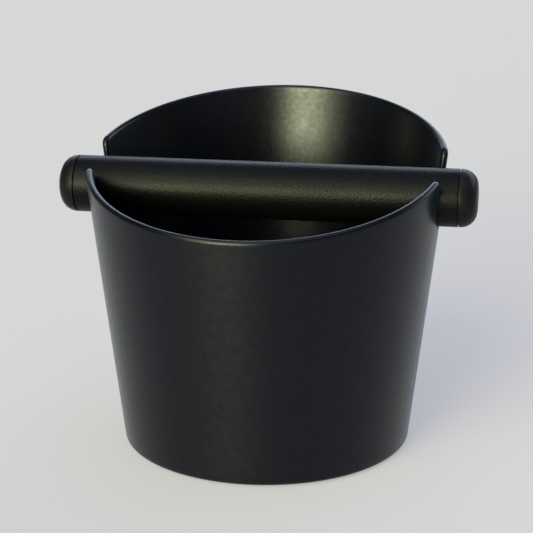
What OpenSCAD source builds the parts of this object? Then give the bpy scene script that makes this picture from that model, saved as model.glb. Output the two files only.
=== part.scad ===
// Espresso knock box: a tapered bucket with a slanted rim, and a padded bar that lies across it in open slots.
// The origin is on the counter, under the bucket's axis. X runs along the bar and Z is up.
// -Y faces the low front of the rim. Sizes are in millimetres and angles in degrees.

/* [Bucket] */
// Outer diameter of the wall, carried down to the counter
base_d = 120; // [110:1:130]
// Lean of the wall away from upright
wall_lean = 6.8; // [5:0.1:8]
// Thickness of the wall
wall_t = 3; // [2.4:0.1:3.6]
// Thickness of the floor
floor_t = 3.6; // [3.2:0.1:5]
// Height of the rim at the bucket's axis
rim_h = 119.8; // [118:0.1:124]
// Slant of the rim, low at the front and high at the back
rim_tilt = 12.9; // [10:0.1:15]
// Radius of the edge under the wall
base_edge_r = 2.2; // [1:0.1:3]
// Radius between the floor and the inner wall
floor_fillet_r = 8; // [4:0.5:12]

/* [Slots] */
// Gap between the bar and the slots it lies in
slot_gap = 0.4; // [0.3:0.1:0.6]
// Radius of the slots' upper corners
horn_r = 4; // [2:0.5:5]

/* [Knock bar] */
// Outer diameter of the bar
bar_d = 23.6; // [22:0.2:25]
// Length of the bar over both end caps
bar_l = 173; // [170:1:182]
// Height of the bar's axis above the counter
bar_h = 106; // [104:0.5:107]
// Length of an end cap from its seam to its tip
cap_l = 7.6; // [7.2:0.1:9]
// Radius of an end cap's outer edge
cap_edge_r = 6.6; // [4:0.1:6.6]
// Width of the seam between an end cap and the sleeve
seam_w = 0.5; // [0.3:0.1:0.5]
// Depth of the seam
seam_depth = 0.9; // [0.5:0.1:1.5]
// Outer diameter of the core tube
core_d = 16; // [14:0.5:17]
// Wall of the core tube
core_t = 2; // [1.5:0.25:2.5]
// Length of an end cap's plug inside the core tube
plug_l = 15; // [12:1:20]

/* [Base ring] */
// Outer diameter of the non-slip ring
ring_d = 104; // [96:1:106]
// Width of the ring's tread
ring_w = 8; // [6:0.5:12]
// Thickness of the ring
ring_t = 2; // [1.8:0.1:2.4]
// How far the ring stands out below the bucket
ring_stand = 0.6; // [0.4:0.1:1]

/* [Hidden] */
$fn = 96;
sliver_overshoot = 0.2;

// Bucket: the wall is a cone whose outer radius grows evenly with height
bottom_z = ring_stand;
floor_z = bottom_z + floor_t;
rough_top_z = rim_h + base_d / 2;
wall_angle = 90 - wall_lean;
function outer_r(z) = base_d / 2 + z * tan(wall_lean);
function inner_r(z) = outer_r(z) - wall_t / cos(wall_lean);

// Rim: a flat cut through the cone, described by its height at a place along Y
rim_reach = base_d;
function rim_z(y) = rim_h + y * tan(rim_tilt);

// Slots: as wide as the bar and its gaps, with a round seat about the bar's axis.
// A horn is the rounded corner between a slot and the rim, in front of the bar (-1) or behind it (1).
bar_r = bar_d / 2;
slot_r = bar_r + slot_gap;
seat_steps = 48;
horn_steps = 14;
rim_normal = 90 + rim_tilt;
function horn_y(side) = side * (slot_r + horn_r);
function horn_centre(side) = [horn_y(side), rim_z(horn_y(side)) - horn_r / cos(rim_tilt)];
function arc(centre, r, from, to, steps) =
    [for (i = [0 : steps]) let (a = from + (to - from) * i / steps) centre + r * [cos(a), sin(a)]];

// Underside: the ring's groove, and a shallow dish inside it
groove_gap = 0.15;
groove_in_r = ring_d / 2 - ring_w - groove_gap;
groove_out_r = ring_d / 2 + groove_gap;
groove_z = ring_t;
dish_margin = 4;
dish_depth = 0.8;
ring_edge_r = 0.5;

// Bar: places along it are counted from its middle
run_gap = 0.05;
end_gap = 0.3;
edge_r = 0.4;
core_r = core_d / 2;
core_bore_r = core_r - core_t;
sleeve_bore_r = core_r + run_gap;
seam_s = bar_l / 2 - cap_l;
core_inset = 2;
core_end_s = seam_s - core_inset;
tip_s = bar_l / 2;

// Plug: a stem with ribs that fit the core tube's bore
rib_depth = 0.7;
rib_r = core_bore_r - run_gap;
stem_r = rib_r - rib_depth;
rib_count = 4;
rib_w = 1.6;
rib_pitch = (plug_l - rib_w) / (rib_count - 1);
shoulder_r = core_r;

// The sliver that is cut off to round a corner, whose two edges leave it at angles a and b.
// Its point stands a little outside the corner, so that nothing is left along the two edges.
module corner_sliver(corner, a, b, r) {
    half = abs(a - b) / 2;
    inward = [cos((a + b) / 2), sin((a + b) / 2)];
    run = r / tan(half);
    centre = corner + r / sin(half) * inward;
    difference() {
        polygon([
            corner - sliver_overshoot * inward,
            corner + run * [cos(a), sin(a)],
            centre,
            corner + run * [cos(b), sin(b)],
        ]);
        translate(centre) circle(r);
    }
}

// A half section between the bucket's axis and a wall, standing on a flat bottom with a rounded corner
module tub_section(bottom, r_bottom, r_top, corner_r) {
    difference() {
        polygon([[0, bottom], [r_bottom, bottom], [r_top, rough_top_z], [0, rough_top_z]]);
        corner_sliver([r_bottom, bottom], 180, wall_angle, corner_r);
    }
}

module bucket_section() {
    difference() {
        tub_section(bottom_z, outer_r(bottom_z), outer_r(rough_top_z), base_edge_r);
        tub_section(floor_z, inner_r(floor_z), inner_r(rough_top_z), floor_fillet_r);
        translate([groove_in_r, 0]) square([groove_out_r - groove_in_r, groove_z]);
        square([groove_in_r - dish_margin, bottom_z + dish_depth]);
    }
}

// Seen from the side, all that is cut away above the rim, in the slots and at their rounded upper corners
module rim_cut() {
    polygon(concat(
        [[-rim_reach, rim_z(-rim_reach)]],
        arc(horn_centre(-1), horn_r, rim_normal, 0, horn_steps),
        arc([0, bar_h], slot_r, 180, 360, seat_steps),
        arc(horn_centre(1), horn_r, 180, rim_normal, horn_steps),
        [[rim_reach, rim_z(rim_reach)], [rim_reach, 2 * rough_top_z], [-rim_reach, 2 * rough_top_z]]
    ));
}

module across_bucket(width) {
    rotate([90, 0, 90]) linear_extrude(width, center = true) children();
}

// Turns a half section about the bar's axis, with its second coordinate along the bar
module turned_bar() {
    translate([0, 0, bar_h]) rotate([0, 90, 0]) rotate_extrude() children();
}

module bucket() {
    color([0.11, 0.11, 0.12])
    difference() {
        rotate_extrude() bucket_section();
        across_bucket(2 * rim_reach) rim_cut();
    }
}

module base_ring() {
    inner = ring_d / 2 - ring_w;
    color([0.07, 0.07, 0.07])
    rotate_extrude() difference() {
        translate([inner, 0]) square([ring_w, ring_t]);
        corner_sliver([inner, 0], 0, 90, ring_edge_r);
        corner_sliver([inner + ring_w, 0], 90, 180, ring_edge_r);
    }
}

module bar_core() {
    color([0.62, 0.63, 0.65])
    turned_bar() translate([core_bore_r, -core_end_s]) square([core_t, 2 * core_end_s]);
}

module bar_sleeve() {
    color([0.15, 0.15, 0.15])
    turned_bar() difference() {
        translate([sleeve_bore_r, -seam_s]) square([bar_r - sleeve_bore_r, 2 * seam_s]);
        corner_sliver([bar_r, seam_s], 180, 270, edge_r);
        corner_sliver([bar_r, -seam_s], 90, 180, edge_r);
    }
}

module end_cap_section() {
    head_s = seam_s + seam_w;
    plug_s = core_end_s - plug_l;
    difference() {
        translate([0, head_s]) square([bar_r, tip_s - head_s]);
        corner_sliver([bar_r, tip_s], 180, 270, cap_edge_r);
    }
    translate([0, seam_s]) square([bar_r - seam_depth, seam_w]);
    translate([0, core_end_s + end_gap]) square([shoulder_r, core_inset - end_gap]);
    translate([0, plug_s]) square([stem_r, plug_l + end_gap]);
    for (i = [0 : rib_count - 1])
        translate([0, plug_s + i * rib_pitch]) square([rib_r, rib_w]);
}

module end_cap() {
    color([0.13, 0.13, 0.13]) turned_bar() end_cap_section();
}

module end_cap_right() {
    end_cap();
}

module end_cap_left() {
    mirror([1, 0, 0]) end_cap();
}

bucket();
base_ring();
bar_core();
bar_sleeve();
end_cap_left();
end_cap_right();
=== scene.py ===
"""Espresso knock box: a satin black bucket on a non-slip ring, and a rubber-covered knock bar across it."""

import math
from collections import namedtuple

import bmesh
import bpy
import numpy as np
from mathutils import Matrix, Vector


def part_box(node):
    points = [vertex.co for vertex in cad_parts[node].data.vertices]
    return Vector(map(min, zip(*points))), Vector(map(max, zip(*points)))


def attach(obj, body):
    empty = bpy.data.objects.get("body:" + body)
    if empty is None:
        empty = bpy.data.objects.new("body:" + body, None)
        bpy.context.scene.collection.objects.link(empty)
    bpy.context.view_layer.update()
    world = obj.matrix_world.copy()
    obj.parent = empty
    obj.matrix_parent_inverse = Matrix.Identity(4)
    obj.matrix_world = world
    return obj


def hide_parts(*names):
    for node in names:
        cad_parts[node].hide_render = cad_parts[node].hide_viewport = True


bl_info = {
    "name": "Espresso knock box",
    "version": (1, 0, 0),
    "blender": (4, 5, 0),
    "location": "3D View > Sidebar > Knock box",
    "description": "Makes the visible pieces of an espresso knock box, and a pale studio stage for it",
    "category": "Object",
}

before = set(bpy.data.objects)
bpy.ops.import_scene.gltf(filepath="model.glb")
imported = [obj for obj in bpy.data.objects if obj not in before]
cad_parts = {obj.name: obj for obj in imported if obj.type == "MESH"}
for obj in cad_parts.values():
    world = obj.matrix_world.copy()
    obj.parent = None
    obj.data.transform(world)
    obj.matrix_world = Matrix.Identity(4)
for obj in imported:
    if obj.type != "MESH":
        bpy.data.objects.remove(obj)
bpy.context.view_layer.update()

MM = 0.001
IMAGE_WIDTH = 533
SENSOR_WIDTH = 36.0

# Boxes of the frame's nodes give the places where the pieces meet
SLEEVE_LOW, SLEEVE_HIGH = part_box("bar_sleeve")
CAP_LOW, CAP_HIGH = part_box("end_cap_right")
CORE_LOW, CORE_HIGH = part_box("bar_core")
RING_LOW, RING_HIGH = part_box("base_ring")
BUCKET_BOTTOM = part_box("bucket")[0].z
BAR_RADIUS = (SLEEVE_HIGH.z - SLEEVE_LOW.z) / 2
BAR_HEIGHT = (SLEEVE_HIGH.z + SLEEVE_LOW.z) / 2
CORE_RADIUS = (CORE_HIGH.z - CORE_LOW.z) / 2

# Counts of steps along the curved and straight stretches of the meshes
RIM_STEPS = 46
HORN_STEPS = 12
SLOT_SIDE_STEPS = 8
SEAT_STEPS = 40
EDGE_STEPS = 7
WALL_STEPS = 30
CORNER_STEPS = 8
FILLET_STEPS = 12
FLOOR_STEPS = 5
ROUNDING_STEPS = 5
TURN_STEPS = 160
STRAIGHT_STEP = 8 * MM
SMOOTH_ANGLE = math.radians(35)

# Turned pieces: the circle that a section is swept along, from which the section's own radii are counted,
# and turns that bring the axis from upright to along the bar, to the right or to the left
TURN_CIRCLE = 10 * MM
MERGE_DISTANCE = 0.001 * MM
UPRIGHT = (0, 0, 0)
TO_RIGHT = (0, math.pi / 2, 0)
TO_LEFT = (0, -math.pi / 2, 0)

# The ring's tread, and the mark that the mould's gate leaves under the floor
RING_WIDTH = 8 * MM
GATE_RADIUS = 5 * MM
GATE_DEPTH = 0.5 * MM
GATE_NIB = 1.4 * MM
GATE_NIB_HEIGHT = 0.3 * MM
SOFT_EDGE = 0.12 * MM


def length(name, description, default):
    """A size that a user can change, in metres."""
    return bpy.props.FloatProperty(
        name=name, description=description, default=default, precision=4, unit="LENGTH")


def angle(name, description, degrees):
    """An angle that a user can change."""
    return bpy.props.FloatProperty(
        name=name, description=description, default=math.radians(degrees), subtype="ANGLE", unit="ROTATION")


def share(name, description, default):
    """A value from 0 to 1 that a user can change."""
    return bpy.props.FloatProperty(
        name=name, description=description, default=default, min=0, max=1, subtype="FACTOR")


def colour(name, description, default):
    """A colour that a user can change."""
    return bpy.props.FloatVectorProperty(
        name=name, description=description, default=default, min=0, max=1, size=3, subtype="COLOR")


class BucketSettings(bpy.types.PropertyGroup):
    """Sizes and finish of the bucket and the ring under it."""

    base_diameter: length("Base diameter", "Outer diameter of the wall, carried on to the counter", 120 * MM)
    wall_lean: angle("Wall lean", "Lean of the wall away from upright", 6.8)
    wall_thickness: length("Wall thickness", "Thickness of the wall", 3 * MM)
    floor_thickness: length("Floor thickness", "Thickness of the floor", 3.6 * MM)
    rim_height: length("Rim height", "Height of the rim at the bucket's axis", 119.8 * MM)
    rim_slant: angle("Rim slant", "Slant of the rim, low at the front and high at the back", 12.9)
    base_edge: length("Base edge", "Radius of the edge under the wall", 2.2 * MM)
    floor_fillet: length("Floor fillet", "Radius between the floor and the inner wall", 8 * MM)
    slot_gap: length("Slot gap", "Gap between the bar and the slots it lies in", 0.4 * MM)
    horn_radius: length("Horn radius", "Radius of the slots' upper corners", 4 * MM)
    groove_gap: length("Groove gap", "Gap between the ring and its groove", 0.15 * MM)
    dish_margin: length("Dish margin", "Width of the land between the ring's groove and the dish", 4 * MM)
    dish_depth: length("Dish depth", "Depth of the dish under the floor", 0.8 * MM)
    plastic: colour("Plastic", "Colour of the moulded bucket", (0.0013, 0.0015, 0.0027))
    outer_gloss: share("Outer gloss", "Strength of the reflections outside", 0.27)
    outer_mottle: share("Outer mottle", "Share by which the gloss wanders up and down outside", 0.1)
    inner_gloss: share("Inner gloss", "Strength of the reflections inside, where the mould is polished", 0.34)
    inner_mottle: share("Inner mottle", "Share by which the gloss wanders up and down inside", 0.18)
    plastic_roughness: share("Plastic roughness", "Roughness of the satin finish", 0.31)
    roughness_mottle: share("Roughness mottle", "How far the roughness wanders up and down", 0.035)
    ring_rubber: colour("Ring rubber", "Colour of the non-slip ring", (0.016, 0.016, 0.016))


class BarSettings(bpy.types.PropertyGroup):
    """Sizes and finish of the knock bar."""

    cap_edge: length("Cap edge", "Radius of an end cap's outer edge", 6.6 * MM)
    seam_width: length("Seam width", "Width of the seam between an end cap and the sleeve", 0.5 * MM)
    seam_depth: length("Seam depth", "Depth of the seam", 0.9 * MM)
    soft_edge: length("Soft edge", "Radius of the sleeve's ends and of a cap's inner edge", 0.15 * MM)
    grain: length("Grain", "Width of one grain of the rubber's finish", 0.9 * MM)
    sleeve_rubber: colour("Sleeve rubber", "Colour of the sleeve", (0.002, 0.002, 0.0021))
    cap_rubber: colour("Cap rubber", "Colour of the end caps", (0.005, 0.005, 0.0055))


class StageSettings(bpy.types.PropertyGroup):
    """The camera's place, and the floor."""

    turn: angle("Camera turn", "How far the camera stands to the right of the front", 10.273)
    rise: angle("Camera rise", "How far the camera looks down", 16.206)
    roll: angle("Camera roll", "Turn of the picture about its middle", -0.146)
    distance: length("Camera distance", "Distance from the camera to the height it looks at", 672 * MM)
    look_height: length("Look height", "Height on the bucket's axis that the camera looks at", 73.39 * MM)
    focal_pixels: bpy.props.FloatProperty(
        name="Focal length", description="Focal length in widths of one picture element", default=1613)
    floor: colour("Floor", "Colour of the floor", (0.611, 0.608, 0.642))
    floor_glow: share("Floor glow", "Share of the floor's colour that shows without light", 0.6)


class Bench:
    """Adds nodes to a tree and wires them, so that a tree reads as a list of its steps."""

    def __init__(self, tree):
        self.tree = tree
        tree.nodes.clear()

    def add(self, kind, **settings):
        node = self.tree.nodes.new(kind)
        for name, value in settings.items():
            setattr(node, name, value)
        return node

    def put(self, node, **inputs):
        """Sets inputs by name, with underscores for spaces: a socket is wired, and a value is written."""
        for name, value in inputs.items():
            socket = node.inputs[name.replace("_", " ")]
            if isinstance(value, bpy.types.NodeSocket):
                self.tree.links.new(value, socket)
            else:
                socket.default_value = value
        return node


class FinishBench(Bench):
    """The nodes that the finishes share."""

    def __init__(self, name):
        self.material = bpy.data.materials.new(name)
        self.material.use_nodes = True
        super().__init__(self.material.node_tree)
        coordinates = self.add("ShaderNodeTexCoord").outputs
        self.place = coordinates["Object"]
        self.facing = coordinates["Normal"]
        self.shader = self.add("ShaderNodeBsdfPrincipled")
        self.output = self.add("ShaderNodeOutputMaterial")
        self.put(self.output, Surface=self.shader.outputs["BSDF"])

    def noise(self, width, detail=2.0, roughness=0.5, place=None):
        """Soft noise whose lumps are about as wide as given."""
        node = self.add("ShaderNodeTexNoise")
        self.put(node, Vector=place or self.place, Scale=1 / width, Detail=detail, Roughness=roughness)
        return node.outputs["Fac"]

    def outward(self):
        """How far the surface faces away from the object's origin: below 0, it faces towards it."""
        node = self.add("ShaderNodeVectorMath", operation="DOT_PRODUCT")
        self.tree.links.new(self.place, node.inputs[0])
        self.tree.links.new(self.facing, node.inputs[1])
        return node.outputs["Value"]

    def spread(self, value, low=0, high=1, to_low=0, to_high=1):
        """Maps a range of values to another one, clamped at both ends."""
        node = self.add("ShaderNodeMapRange")
        self.put(node, Value=value, From_Min=low, From_Max=high, To_Min=to_low, To_Max=to_high)
        return node.outputs["Result"]

    def most(self, first, second):
        """The larger of two values."""
        node = self.add("ShaderNodeMath", operation="MAXIMUM")
        self.tree.links.new(first, node.inputs[0])
        self.tree.links.new(second, node.inputs[1])
        return node.outputs["Value"]

    def tint(self, mask, base, other):
        """One colour that gives way to another as the mask goes from 0 to 1. Each is a value or a socket."""
        node = self.put(self.add("ShaderNodeMix", data_type="RGBA"), Factor=mask)
        ends = [socket for socket in node.inputs if socket.type == "RGBA"]
        for socket, tone in zip(ends, (base, other)):
            if isinstance(tone, bpy.types.NodeSocket):
                self.tree.links.new(tone, socket)
            else:
                socket.default_value = (*tone, 1)
        return [socket for socket in node.outputs if socket.type == "RGBA"][0]

    def bump(self, height, depth, strength=1.0, under=None):
        """A raised pattern of a real depth, on top of another one where there is one."""
        node = self.add("ShaderNodeBump")
        self.put(node, Height=height, Distance=depth, Strength=strength)
        if under:
            self.put(node, Normal=under)
        return node.outputs["Normal"]


def scaled(tone, factor):
    return tuple(channel * factor for channel in tone)


def satin_plastic(settings):
    """Moulded black plastic with a little dust. Its satin is drawn out the way the piece left the mould."""
    bench = FinishBench("satin_plastic")
    clouds = bench.noise(width=14 * MM, detail=3)
    mottle = bench.noise(width=3 * MM, detail=4, roughness=0.65)
    blotches = bench.noise(width=1.8 * MM, detail=2, roughness=0.6)
    satin = bench.noise(width=0.35 * MM, detail=3, roughness=0.6)
    specks = bench.noise(width=0.9 * MM, detail=1)
    dust = bench.spread(specks, low=0.79, high=0.83)
    tone = bench.tint(clouds, scaled(settings.plastic, 0.85), scaled(settings.plastic, 1.15))
    smoothest = settings.plastic_roughness - settings.roughness_mottle
    roughest = settings.plastic_roughness + settings.roughness_mottle
    outer, outer_step = settings.outer_gloss, settings.outer_gloss * settings.outer_mottle
    inner, inner_step = settings.inner_gloss, settings.inner_gloss * settings.inner_mottle
    # The walls face outwards or inwards by more than this, and only floors and edges by less
    wall_facing = 20 * MM
    inside = bench.spread(bench.outward(), low=wall_facing, high=-wall_facing)
    dullest = bench.spread(inside, to_low=outer - outer_step, to_high=inner - inner_step)
    brightest = bench.spread(inside, to_low=outer + outer_step, to_high=inner + inner_step)
    relief = bench.bump(mottle, depth=0.012 * MM)
    round_axis = bench.add("ShaderNodeTangent", direction_type="RADIAL", axis="Z")
    bench.put(
        bench.shader,
        Base_Color=bench.tint(dust, tone, scaled(settings.plastic, 4)),
        Roughness=bench.spread(mottle, low=0.3, high=0.7, to_low=smoothest, to_high=roughest),
        Specular_IOR_Level=bench.spread(blotches, low=0.3, high=0.7, to_low=dullest, to_high=brightest),
        Specular_Tint=(0.74, 0.79, 1, 1),
        Anisotropic=0.6,
        Anisotropic_Rotation=0.25,
        Tangent=round_axis.outputs["Tangent"],
        Sheen_Weight=0.12,
        Sheen_Roughness=0.25,
        Sheen_Tint=(0.4, 0.65, 1, 1),
        Normal=bench.bump(satin, depth=0.006 * MM, strength=0.5, under=relief),
    )
    return bench.material


def grained_rubber(name, tone, grain, depth):
    """Matte rubber with a fine moulded grain, a little paler where it has been rubbed, and painted shade in
    the grain's hollows.
    """
    bench = FinishBench(name)
    clouds = bench.noise(width=18 * MM, detail=3)
    grains = bench.noise(width=grain, detail=2)
    # Painted shade: the grain's hollows take 0.6 of the rubber's tone, and its tops take the full tone
    tops_above_painted_shade = bench.spread(grains, low=0.35, high=0.65)
    rubbed = bench.tint(clouds, scaled(tone, 0.85), scaled(tone, 1.2))
    bench.put(
        bench.shader,
        Base_Color=bench.tint(tops_above_painted_shade, scaled(tone, 0.6), rubbed),
        Roughness=bench.spread(clouds, low=0.3, high=0.7, to_low=0.38, to_high=0.42),
        Specular_IOR_Level=0.11,
        Specular_Tint=(0.76, 0.82, 1, 1),
        Normal=bench.bump(grains, depth),
    )
    return bench.material


def drawn_steel():
    """Bright steel tube with fine draw lines along it."""
    bench = FinishBench("drawn_steel")
    line_length = 50  # in widths of a line
    mapping = bench.add("ShaderNodeMapping")
    bench.put(mapping, Vector=bench.place, Scale=(1 / line_length, 1, 1))
    lines = bench.noise(width=0.4 * MM, place=mapping.outputs["Vector"])
    bench.put(
        bench.shader,
        Base_Color=bench.tint(lines, (0.48, 0.49, 0.51), (0.6, 0.61, 0.63)),
        Roughness=bench.spread(lines, low=0.3, high=0.7, to_low=0.25, to_high=0.38),
        Metallic=1.0,
        Normal=bench.bump(lines, depth=0.01 * MM, strength=0.4),
    )
    return bench.material


def floor_paper(settings):
    """Plain pale paper. A share of what the camera, gloss and glass see of it glows, to soften shadows."""
    bench = FinishBench("floor_paper")
    fibres = bench.noise(width=3 * MM, detail=3)
    tone = bench.tint(fibres, scaled(settings.floor, 0.995), scaled(settings.floor, 1.005))
    bench.put(bench.shader, Base_Color=tone, Roughness=0.95, Specular_IOR_Level=0.0)
    glow = bench.put(bench.add("ShaderNodeEmission"), Color=tone)
    path = bench.add("ShaderNodeLightPath").outputs
    seen = bench.most(bench.most(path["Is Camera Ray"], path["Is Glossy Ray"]), path["Is Transmission Ray"])
    amount = bench.spread(seen, to_high=settings.floor_glow)
    blend = bench.put(bench.add("ShaderNodeMixShader"), Fac=amount)
    bench.tree.links.new(bench.shader.outputs["BSDF"], blend.inputs[1])
    bench.tree.links.new(glow.outputs["Emission"], blend.inputs[2])
    bench.put(bench.output, Surface=blend.outputs["Shader"])
    return bench.material


def arc(centre, radius, start, end, steps):
    """Points on a circle, from one angle to another, both included."""
    return [(centre[0] + radius * math.cos(a), centre[1] + radius * math.sin(a))
            for a in np.linspace(start, end, steps + 1)]


def between(start, end, steps):
    """Points that part a straight run into even steps, without its ends."""
    return [tuple(point) for point in np.linspace(start, end, steps + 1)[1:-1]]


def rounded(corners):
    """A path through corners (radius, place, rounding), each of which becomes an arc of its own rounding."""
    path = []
    for index, (radius, place, rounding) in enumerate(corners):
        corner = Vector((radius, place))
        if rounding == 0:
            path.append(tuple(corner))
            continue
        back = (Vector(corners[index - 1][:2]) - corner).normalized()
        on = (Vector(corners[(index + 1) % len(corners)][:2]) - corner).normalized()
        half = back.angle(on) / 2
        centre = corner + (back + on).normalized() * rounding / math.sin(half)
        run = rounding / math.tan(half)
        first = corner + back * run - centre
        sweep = first.angle_signed(corner + on * run - centre)
        start = math.atan2(first.y, first.x)
        path += arc(centre, rounding, start, start - sweep, ROUNDING_STEPS)
    return path


def stepped(path, closed):
    """The path with its long straight runs parted into shorter steps."""
    points = []
    pairs = zip(path, path[1:] + path[:1]) if closed else zip(path, path[1:])
    for start, end in pairs:
        steps = max(1, round(math.dist(start, end) / STRAIGHT_STEP))
        points += [start] + between(start, end, steps)
    return points if closed else points + [path[-1]]


def finish_mesh(mesh):
    """Turns the faces outwards, and smooths all but the sharp edges."""
    work = bmesh.new()
    work.from_mesh(mesh)
    bmesh.ops.recalc_face_normals(work, faces=work.faces)
    work.to_mesh(mesh)
    work.free()
    mesh.shade_smooth()
    mesh.set_sharp_from_angle(angle=SMOOTH_ANGLE)


def add_object(name, mesh):
    piece = bpy.data.objects.new(name, mesh)
    bpy.context.scene.collection.objects.link(piece)
    return piece


def turned_tree():
    """A node tree that turns a section about an axis. A section is a chain of edges, whose X is a radius."""
    name = "Turned piece"
    if name in bpy.data.node_groups:
        return bpy.data.node_groups[name]
    tree = bpy.data.node_groups.new(name, "GeometryNodeTree")
    for label, kind in (
        ("Section", "NodeSocketGeometry"),
        ("Steps", "NodeSocketInt"),
        ("Axis turn", "NodeSocketVector"),
        ("Axis place", "NodeSocketVector"),
        ("Merge distance", "NodeSocketFloat"),
        ("Finish", "NodeSocketMaterial"),
    ):
        tree.interface.new_socket(label, in_out="INPUT", socket_type=kind)
    tree.interface.new_socket("Piece", in_out="OUTPUT", socket_type="NodeSocketGeometry")
    bench = Bench(tree)
    given = bench.add("NodeGroupInput").outputs
    section = bench.put(bench.add("GeometryNodeMeshToCurve"), Mesh=given["Section"])
    circle = bench.put(
        bench.add("GeometryNodeCurvePrimitiveCircle"), Resolution=given["Steps"], Radius=TURN_CIRCLE)
    upright = bench.put(bench.add("GeometryNodeSetCurveNormal", mode="Z_UP"), Curve=circle.outputs["Curve"])
    turned = bench.put(
        bench.add("GeometryNodeCurveToMesh"),
        Curve=upright.outputs["Curve"], Profile_Curve=section.outputs["Curve"])
    closed = bench.put(
        bench.add("GeometryNodeMergeByDistance"),
        Geometry=turned.outputs["Mesh"], Distance=given["Merge distance"])
    placed = bench.put(
        bench.add("GeometryNodeTransform"), Geometry=closed.outputs["Geometry"],
        Rotation=given["Axis turn"], Translation=given["Axis place"])
    real = bench.put(bench.add("GeometryNodeRealizeInstances"), Geometry=placed.outputs["Geometry"])
    dressed = bench.put(
        bench.add("GeometryNodeSetMaterial"), Geometry=real.outputs["Geometry"], Material=given["Finish"])
    bench.put(bench.add("NodeGroupOutput"), Piece=dressed.outputs["Geometry"])
    return tree


def turned_piece(name, path, closed, axis_turn, axis_place, finish):
    """A piece turned from a path of (radius, place along the axis)."""
    points = stepped(path, closed)
    chain = bpy.data.meshes.new(name)
    vertices = [(radius - TURN_CIRCLE, -place, 0) for radius, place in points]
    edges = [(i, i + 1) for i in range(len(points) - 1)]
    if closed:
        edges.append((len(points) - 1, 0))
    chain.from_pydata(vertices, edges, [])
    piece = add_object(name, chain)
    modifier = piece.modifiers.new("Turned", "NODES")
    modifier.node_group = turned_tree()
    values = {
        "Steps": TURN_STEPS,
        "Axis turn": axis_turn,
        "Axis place": axis_place,
        "Merge distance": MERGE_DISTANCE,
        "Finish": finish,
    }
    for item in modifier.node_group.interface.items_tree:
        if item.in_out == "INPUT" and item.name in values:
            modifier[item.identifier] = values[item.name]
    shown = piece.evaluated_get(bpy.context.evaluated_depsgraph_get())
    mesh = bpy.data.meshes.new_from_object(shown)
    piece.modifiers.clear()
    piece.data = mesh
    mesh.name = name
    bpy.data.meshes.remove(chain)
    finish_mesh(mesh)
    return piece


def middle_radius(sizes, height):
    """Radius halfway through the wall at a height."""
    half = sizes.wall_thickness / 2
    return sizes.base_diameter / 2 + height * math.tan(sizes.wall_lean) - half / math.cos(sizes.wall_lean)


def horn_centre(sizes, side):
    """Centre of a slot's rounded upper corner in the side view: in front of the bar (-1) or behind it (1)."""
    y = side * (BAR_RADIUS + sizes.slot_gap + sizes.horn_radius)
    rim = sizes.rim_height + y * math.tan(sizes.rim_slant)
    return y, rim - sizes.horn_radius / math.cos(sizes.rim_slant)


def rim_run(sizes, start, end):
    """Places (angle, height) along the slanted rim, from one angle about the bucket's axis to another."""
    slope = math.tan(sizes.rim_slant)
    lean = math.tan(sizes.wall_lean)
    places = []
    for turn in np.linspace(start, end, RIM_STEPS + 1):
        fall = slope * math.sin(turn)
        places.append((turn, (sizes.rim_height + fall * middle_radius(sizes, 0)) / (1 - fall * lean)))
    return places


def bucket_edge(sizes):
    """The edge once round from the front middle, as rows of (angle, height) halfway through the wall."""
    seat_radius = BAR_RADIUS + sizes.slot_gap
    rim_normal = math.pi / 2 + sizes.rim_slant
    front_horn = arc(horn_centre(sizes, -1), sizes.horn_radius, rim_normal, 0, HORN_STEPS)
    seat = arc((0, BAR_HEIGHT), seat_radius, math.pi, 2 * math.pi, SEAT_STEPS)
    back_horn = arc(horn_centre(sizes, 1), sizes.horn_radius, math.pi, rim_normal, HORN_STEPS)
    slot = (front_horn + between(front_horn[-1], seat[0], SLOT_SIDE_STEPS)
            + seat + between(seat[-1], back_horn[0], 2 * SLOT_SIDE_STEPS) + back_horn)
    slot = [(math.asin(y / middle_radius(sizes, z)), z) for y, z in slot]
    front = rim_run(sizes, -math.pi / 2, slot[0][0])
    back = rim_run(sizes, slot[-1][0], math.pi / 2)
    right = front[:-1] + slot + back[1:]
    left = [(math.pi - turn, z) for turn, z in reversed(right[1:-1])]
    return np.array(right + left)


def set_in(edge, sizes, distance):
    """The edge moved into the wall by a distance, square to itself and along the wall."""
    turn, height = edge.T
    radius = middle_radius(sizes, height)
    step = np.roll(edge, -1, axis=0) - np.roll(edge, 1, axis=0)
    along = radius * ((step[:, 0] + math.pi) % (2 * math.pi) - math.pi)
    up = step[:, 1] / math.cos(sizes.wall_lean)
    reach = np.hypot(along, up)
    return np.column_stack((
        turn + distance * up / reach / radius,
        height - distance * along / reach * math.cos(sizes.wall_lean),
    ))


def on_wall(places, sizes, outwards):
    """Points at places (angle, height) of the wall, a distance outwards from halfway through it."""
    turn, height = places.T
    radius = middle_radius(sizes, height) + outwards * math.cos(sizes.wall_lean)
    return np.column_stack((
        radius * np.cos(turn), radius * np.sin(turn), height - outwards * math.sin(sizes.wall_lean)))


def base_angles(places, sizes):
    """Angles at the base for the columns that start along the edge, shared out by the edge's length."""
    points = on_wall(places, sizes, 0)
    steps = np.linalg.norm(np.roll(points, -1, axis=0) - points, axis=1)
    travelled = np.concatenate(([0], np.cumsum(steps)))
    count = len(places)
    seat_middle = int(np.argmin(np.abs(places[:, 0])))
    marks = [0, seat_middle, count // 2, count - seat_middle, count]
    quarters = [math.pi / 2 * (quarter - 1) for quarter in range(5)]
    return np.interp(travelled[:-1], travelled[marks], quarters)


def wall_rows(top, feet, foot_height, sizes, outwards):
    """Rows of points down one side of the wall, from just under the edge to the foot."""
    foot = np.column_stack((feet, np.full(len(feet), foot_height)))
    shares = np.linspace(0, 1, WALL_STEPS + 1)
    return [on_wall(top + (foot - top) * share_down, sizes, outwards) for share_down in shares]


def round_rows(section, feet):
    """Rings of points about the bucket's axis, one for each point (radius, height) of a section."""
    return [np.column_stack((radius * np.cos(feet), radius * np.sin(feet), np.full(len(feet), height)))
            for radius, height in section]


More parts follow.
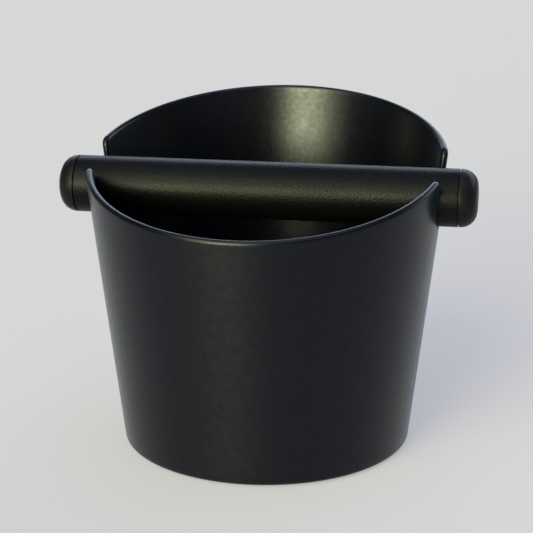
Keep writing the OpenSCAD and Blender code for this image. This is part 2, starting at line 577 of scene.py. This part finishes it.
def underside_section(sizes, corner_radius, bottom):
    """The underside from its middle outwards: a gate mark, the dish, the ring's groove and the outer land."""
    groove_in = RING_HIGH.x - RING_WIDTH - sizes.groove_gap
    groove_out = RING_HIGH.x + sizes.groove_gap
    dish = groove_in - sizes.dish_margin
    dish_top = bottom + sizes.dish_depth
    gate_top = dish_top + GATE_DEPTH
    nib_tip = gate_top - GATE_NIB_HEIGHT
    path = rounded([
        (0, nib_tip, 0),
        (GATE_NIB, nib_tip, SOFT_EDGE),
        (GATE_NIB, gate_top, SOFT_EDGE),
        (GATE_RADIUS, gate_top, SOFT_EDGE),
        (GATE_RADIUS, dish_top, SOFT_EDGE),
        (dish, dish_top, SOFT_EDGE),
        (dish, bottom, SOFT_EDGE),
        (groove_in, bottom, SOFT_EDGE),
        (groove_in, RING_HIGH.z, 0),
        (groove_out, RING_HIGH.z, 0),
        (groove_out, bottom, SOFT_EDGE),
        (corner_radius, bottom, 0),
    ])
    return path[1:]


def bucket_mesh(sizes):
    """One closed skin: up the outside, over the round edge and down the inside, between two middle points."""
    lean = sizes.wall_lean
    half = sizes.wall_thickness / 2
    bottom = BUCKET_BOTTOM
    floor_top = bottom + sizes.floor_thickness

    corner_height = bottom + sizes.base_edge
    corner_radius = middle_radius(sizes, corner_height) + (half - sizes.base_edge) / math.cos(lean)
    corner = arc((corner_radius, corner_height), sizes.base_edge, -math.pi / 2, -lean, CORNER_STEPS)
    outer_foot = corner[-1][1] + half * math.sin(lean)

    fillet_height = floor_top + sizes.floor_fillet
    fillet_radius = middle_radius(sizes, fillet_height) - (half + sizes.floor_fillet) / math.cos(lean)
    fillet = arc((fillet_radius, fillet_height), sizes.floor_fillet, -lean, -math.pi / 2, FILLET_STEPS)
    inner_foot = fillet[0][1] - half * math.sin(lean)
    floor = between(fillet[-1], (0, floor_top), FLOOR_STEPS)

    edge = bucket_edge(sizes)
    top = set_in(edge, sizes, sizes.wall_thickness)
    feet = base_angles(top, sizes)
    over_edge = []
    for tilt in np.linspace(math.pi / 2, -math.pi / 2, 2 * EDGE_STEPS + 1):
        loop = set_in(edge, sizes, half * (1 - math.cos(tilt)))
        over_edge.append(on_wall(loop, sizes, half * math.sin(tilt)))

    rows = round_rows(underside_section(sizes, corner_radius, bottom), feet)
    rows += round_rows(corner[1:-1], feet)
    rows += reversed(wall_rows(top, feet, outer_foot, sizes, half))
    rows += over_edge
    rows += wall_rows(top, feet, inner_foot, sizes, -half)
    rows += round_rows(fillet[1:] + floor, feet)
    return skin_mesh("bucket_moulding", rows)


def skin_mesh(name, rows):
    """A closed mesh over rings of points that all have the same count, with a middle point at both ends."""
    count = len(rows[0])
    middles = [(0, 0, rows[0][0][2]), (0, 0, rows[-1][0][2])]
    vertices = [tuple(point) for row in rows for point in row] + middles
    first_middle = len(rows) * count
    last_row = first_middle - count
    faces = []
    for column in range(count):
        following = (column + 1) % count
        faces.append((first_middle, following, column))
        faces.append((last_row + column, last_row + following, first_middle + 1))
        for start in range(0, last_row, count):
            faces.append((
                start + column, start + following, start + count + following, start + count + column))
    mesh = bpy.data.meshes.new(name)
    mesh.from_pydata(vertices, [], faces)
    finish_mesh(mesh)
    return mesh


class KNOCKBOX_OT_bucket(bpy.types.Operator):
    """Make the bucket, with its slanted rim, slots and rounded edges"""

    bl_idname = "knockbox.bucket"
    bl_label = "Bucket"

    def execute(self, context):
        sizes = context.scene.knock_box_bucket
        mesh = bucket_mesh(sizes)
        mesh.materials.append(satin_plastic(sizes))
        piece = add_object("bucket_moulding", mesh)
        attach(piece, "bucket")
        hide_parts("bucket")
        return {"FINISHED"}


class KNOCKBOX_OT_base_ring(bpy.types.Operator):
    """Make the non-slip ring, with shallow grooves round its tread"""

    bl_idname = "knockbox.base_ring"
    bl_label = "Base ring"

    tread_grooves = 3
    groove_width = 0.8 * MM
    groove_depth = 0.4 * MM
    edge = 0.5 * MM
    grain = 0.4 * MM
    grain_depth = 0.012 * MM

    def execute(self, context):
        sizes = context.scene.knock_box_bucket
        outer, inner = RING_HIGH.x, RING_HIGH.x - RING_WIDTH
        low, high = RING_LOW.z, RING_HIGH.z
        corners = [(inner, high, 0), (inner, low, self.edge)]
        pitch = RING_WIDTH / (self.tread_grooves + 1)
        for number in range(1, self.tread_grooves + 1):
            left = inner + number * pitch - self.groove_width / 2
            right = left + self.groove_width
            corners += [
                (left, low, SOFT_EDGE),
                (left, low + self.groove_depth, SOFT_EDGE),
                (right, low + self.groove_depth, SOFT_EDGE),
                (right, low, SOFT_EDGE),
            ]
        corners += [(outer, low, self.edge), (outer, high, 0)]
        finish = grained_rubber("ring_rubber", sizes.ring_rubber, self.grain, self.grain_depth)
        piece = turned_piece("base_ring_moulding", rounded(corners), True, UPRIGHT, (0, 0, 0), finish)
        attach(piece, "bucket")
        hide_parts("base_ring")
        return {"FINISHED"}


class KNOCKBOX_OT_bar_core(bpy.types.Operator):
    """Give the steel tube inside the bar its drawn finish"""

    bl_idname = "knockbox.bar_core"
    bl_label = "Bar core"

    def execute(self, context):
        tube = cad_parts["bar_core"].data
        tube.materials.clear()
        tube.materials.append(drawn_steel())
        return {"FINISHED"}


class KNOCKBOX_OT_bar_sleeve(bpy.types.Operator):
    """Make the rubber sleeve of the knock bar"""

    bl_idname = "knockbox.bar_sleeve"
    bl_label = "Bar sleeve"

    bore_gap = 0.05 * MM
    grain_depth = 0.13 * MM

    def execute(self, context):
        bar = context.scene.knock_box_bar
        bore = CORE_RADIUS + self.bore_gap
        path = rounded([
            (bore, SLEEVE_LOW.x, 0),
            (BAR_RADIUS, SLEEVE_LOW.x, bar.soft_edge),
            (BAR_RADIUS, SLEEVE_HIGH.x, bar.soft_edge),
            (bore, SLEEVE_HIGH.x, 0),
        ])
        finish = grained_rubber("sleeve_rubber", bar.sleeve_rubber, bar.grain, self.grain_depth)
        piece = turned_piece("bar_sleeve_cover", path, True, TO_RIGHT, (0, 0, BAR_HEIGHT), finish)
        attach(piece, "bar")
        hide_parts("bar_sleeve")
        return {"FINISHED"}


class KNOCKBOX_OT_end_caps(bpy.types.Operator):
    """Make the two rounded end caps, each with a ribbed plug inside the tube"""

    bl_idname = "knockbox.end_caps"
    bl_label = "End caps"

    end_gap = 0.3 * MM
    rib_radius = 5.95 * MM
    stem_radius = 5.25 * MM
    rib_count = 4
    rib_width = 1.6 * MM
    grain_depth = 0.05 * MM

    def section(self, bar):
        """Half of a right end cap's section, from its tip to the end of its plug."""
        tip, seam = CAP_HIGH.x, SLEEVE_HIGH.x
        tube_end, plug_end = CORE_HIGH.x, CAP_LOW.x
        head = seam + bar.seam_width
        neck = BAR_RADIUS - bar.seam_depth
        shoulder = tube_end + self.end_gap
        corners = [
            (0, tip, 0),
            (BAR_RADIUS, tip, bar.cap_edge),
            (BAR_RADIUS, head, bar.soft_edge),
            (neck, head, SOFT_EDGE),
            (neck, seam, SOFT_EDGE),
            (CORE_RADIUS, seam, 0),
            (CORE_RADIUS, shoulder, 0),
            (self.stem_radius, shoulder, 0),
        ]
        pitch = (tube_end - plug_end - self.rib_width) / (self.rib_count - 1)
        for number in reversed(range(self.rib_count)):
            low = plug_end + number * pitch
            high = low + self.rib_width
            corners += [
                (self.stem_radius, high, 0),
                (self.rib_radius, high, SOFT_EDGE),
                (self.rib_radius, low, SOFT_EDGE),
                (self.stem_radius, low, 0),
            ]
        corners[-1] = (0, plug_end, 0)
        return rounded(corners)

    def execute(self, context):
        bar = context.scene.knock_box_bar
        finish = grained_rubber("cap_rubber", bar.cap_rubber, bar.grain, self.grain_depth)
        path = self.section(bar)
        for side, turn in (("right", TO_RIGHT), ("left", TO_LEFT)):
            piece = turned_piece(f"end_cap_{side}_moulding", path, False, turn, (0, 0, BAR_HEIGHT), finish)
            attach(piece, "bar")
            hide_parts(f"end_cap_{side}")
        return {"FINISHED"}


def direction(turn, rise):
    """A unit vector that points at a turn from the front towards the right, and a rise above the floor."""
    return Vector((
        math.sin(turn) * math.cos(rise), -math.cos(turn) * math.cos(rise), math.sin(rise)))


# A panel's turn and rise, its width and height as seen from the object, and its soft edge, all in degrees
SoftPanel = namedtuple("SoftPanel", "turn rise width height edge light")


class LightBench(Bench):
    """The nodes of the studio light. A light is a colour that depends on the direction looked in."""

    def __init__(self, tree):
        super().__init__(tree)
        self.look = self.add("ShaderNodeTexCoord").outputs["Generated"]
        self.total = None

    def towards(self, aim):
        """How far the direction looked in points along another one, from -1 to 1."""
        node = self.add("ShaderNodeVectorMath", operation="DOT_PRODUCT")
        self.tree.links.new(self.look, node.inputs[0])
        node.inputs[1].default_value = aim
        return node.outputs["Value"]

    def fade(self, value, none, full):
        """A soft step from 0 to 1 as a value goes from the first to the second bound, up or down."""
        node = self.add("ShaderNodeMapRange", interpolation_type="SMOOTHSTEP")
        self.put(node, Value=value, From_Min=none, From_Max=full)
        return node.outputs["Result"]

    def both(self, first, second):
        """A mask for what lies in two others."""
        node = self.add("ShaderNodeMath", operation="MULTIPLY")
        self.tree.links.new(first, node.inputs[0])
        self.tree.links.new(second, node.inputs[1])
        return node.outputs["Value"]

    def spot(self, aim, reach, edge):
        """A mask for what lies within an angle of a direction, with a soft edge."""
        return self.fade(self.towards(aim), math.cos(reach + edge / 2), math.cos(reach - edge / 2))

    def band(self, low, high, edge):
        """A mask for what lies between two rises above the floor, with soft edges."""
        height = self.towards((0, 0, 1))
        above = self.fade(height, math.sin(low - edge / 2), math.sin(low + edge / 2))
        below = self.fade(height, math.sin(high + edge / 2), math.sin(high - edge / 2))
        return self.both(above, below)

    def strip(self, axis, half_width, edge):
        """A mask for what lies within an angle of the plane square to an axis, with soft edges."""
        size = self.add("ShaderNodeMath", operation="ABSOLUTE")
        self.tree.links.new(self.towards(axis), size.inputs[0])
        gone, full = math.sin(half_width + edge / 2), math.sin(half_width - edge / 2)
        return self.fade(size.outputs["Value"], gone, full)

    def panel(self, panel):
        """A mask for a soft rectangular panel, on its own side of the object only."""
        turn, rise, width, height, edge = (math.radians(size) for size in panel[:5])
        middle = direction(turn, rise)
        across = Vector((0, 0, 1)).cross(middle).normalized()
        upright = self.strip(across, width / 2, edge)
        level = self.strip(middle.cross(across), height / 2, edge)
        in_front = self.spot(middle, reach=math.pi / 2 - edge, edge=edge)
        return self.both(self.both(upright, level), in_front)

    def shine(self, tone, mask=None):
        """Adds a light of a colour to the others, where its mask lets it through."""
        light = self.put(self.add("ShaderNodeBackground"), Color=(*tone, 1))
        if mask:
            self.put(light, Strength=mask)
        total = self.add("ShaderNodeAddShader")
        self.tree.links.new(light.outputs["Background"], total.inputs[0])
        if self.total:
            self.tree.links.new(self.total, total.inputs[1])
        self.total = total.outputs["Shader"]


class KNOCKBOX_OT_stage(bpy.types.Operator):
    """Make the camera, the pale floor and the soft studio light"""

    bl_idname = "knockbox.stage"
    bl_label = "Stage"

    floor_reach = 12.0
    floor_gap = 0.02 * MM
    # A little light from all round
    ambient = (0.09, 0.1, 0.12)
    # A broad cool light overhead
    overhead = (1.04, 1.11, 1.42)
    overhead_rise = math.radians(75)
    overhead_reach = math.radians(31)
    overhead_edge = math.radians(22)
    # A broad cool light behind, between two rises
    back_light = (2.2, 2.45, 2.9)
    back_turn = math.radians(163)
    back_reach = math.radians(55)
    back_edge = math.radians(28.5)
    back_low = math.radians(12.5)
    back_high = math.radians(38.5)
    back_band_edge = math.radians(8)
    # A tall warm panel in front and to the left, and a small brighter one low at its right edge
    panels = (
        SoftPanel(turn=-25, rise=27, width=32, height=54, edge=12, light=(6.5, 6.4, 3.5)),
        SoftPanel(turn=-16, rise=8, width=23, height=18, edge=17, light=(37.4, 36.3, 17.9)),
    )

    def add_camera(self, settings):
        back = direction(settings.turn, settings.rise)
        level = Vector((0, 0, 1)).cross(back).normalized()
        roll = Matrix.Rotation(settings.roll, 3, back)
        right = roll @ level
        up = roll @ back.cross(level)
        data = bpy.data.cameras.new("camera")
        data.sensor_width = SENSOR_WIDTH
        data.lens = SENSOR_WIDTH * settings.focal_pixels / IMAGE_WIDTH
        camera = bpy.data.objects.new("camera", data)
        bpy.context.scene.collection.objects.link(camera)
        place = Vector((0, 0, settings.look_height)) + back * settings.distance
        camera.matrix_world = Matrix.Translation(place) @ Matrix((right, up, back)).transposed().to_4x4()
        bpy.context.scene.camera = camera

    def add_floor(self, settings):
        reach = self.floor_reach
        mesh = bpy.data.meshes.new("floor")
        corners = [(x * reach, y * reach, -self.floor_gap) for x, y in ((-1, -1), (1, -1), (1, 1), (-1, 1))]
        mesh.from_pydata(corners, [], [(0, 1, 2, 3)])
        mesh.materials.append(floor_paper(settings))
        add_object("floor", mesh)

    def add_light(self):
        world = bpy.data.worlds.new("studio")
        world.use_nodes = True
        bench = LightBench(world.node_tree)
        above = bench.spot(direction(0, self.overhead_rise), self.overhead_reach, self.overhead_edge)
        behind = bench.spot(direction(self.back_turn, 0), self.back_reach, self.back_edge)
        band = bench.band(self.back_low, self.back_high, self.back_band_edge)
        bench.shine(self.ambient)
        bench.shine(self.overhead, above)
        bench.shine(self.back_light, bench.both(behind, band))
        for panel in self.panels:
            bench.shine(panel.light, bench.panel(panel))
        bench.put(bench.add("ShaderNodeOutputWorld"), Surface=bench.total)
        bpy.context.scene.world = world

    def execute(self, context):
        settings = context.scene.knock_box_stage
        self.add_camera(settings)
        self.add_floor(settings)
        self.add_light()
        context.scene.view_settings.view_transform = "Standard"
        return {"FINISHED"}


class KNOCKBOX_PT_panel(bpy.types.Panel):
    """Lists the settings and the steps that make the knock box"""

    bl_idname = "KNOCKBOX_PT_panel"
    bl_label = "Knock box"
    bl_space_type = "VIEW_3D"
    bl_region_type = "UI"
    bl_category = "Knock box"

    def draw(self, context):
        scene = context.scene
        for label, settings in (
            ("Bucket", scene.knock_box_bucket),
            ("Knock bar", scene.knock_box_bar),
            ("Stage", scene.knock_box_stage),
        ):
            box = self.layout.box()
            box.label(text=label)
            for name in settings.__annotations__:
                box.prop(settings, name)
        for operator in OPERATORS:
            self.layout.operator(operator.bl_idname)


SETTINGS = {
    "knock_box_bucket": BucketSettings,
    "knock_box_bar": BarSettings,
    "knock_box_stage": StageSettings,
}
OPERATORS = (
    KNOCKBOX_OT_stage,
    KNOCKBOX_OT_bucket,
    KNOCKBOX_OT_base_ring,
    KNOCKBOX_OT_bar_core,
    KNOCKBOX_OT_bar_sleeve,
    KNOCKBOX_OT_end_caps,
)
CLASSES = (*SETTINGS.values(), *OPERATORS, KNOCKBOX_PT_panel)


def register():
    for cls in CLASSES:
        bpy.utils.register_class(cls)
    for name, group in SETTINGS.items():
        setattr(bpy.types.Scene, name, bpy.props.PointerProperty(type=group))


def unregister():
    for name in SETTINGS:
        delattr(bpy.types.Scene, name)
    for cls in reversed(CLASSES):
        bpy.utils.unregister_class(cls)


def main():
    register()
    bpy.ops.knockbox.stage()
    bpy.ops.knockbox.bucket()
    bpy.ops.knockbox.base_ring()
    bpy.ops.knockbox.bar_core()
    bpy.ops.knockbox.bar_sleeve()
    bpy.ops.knockbox.end_caps()


if __name__ == "__main__":
    main()
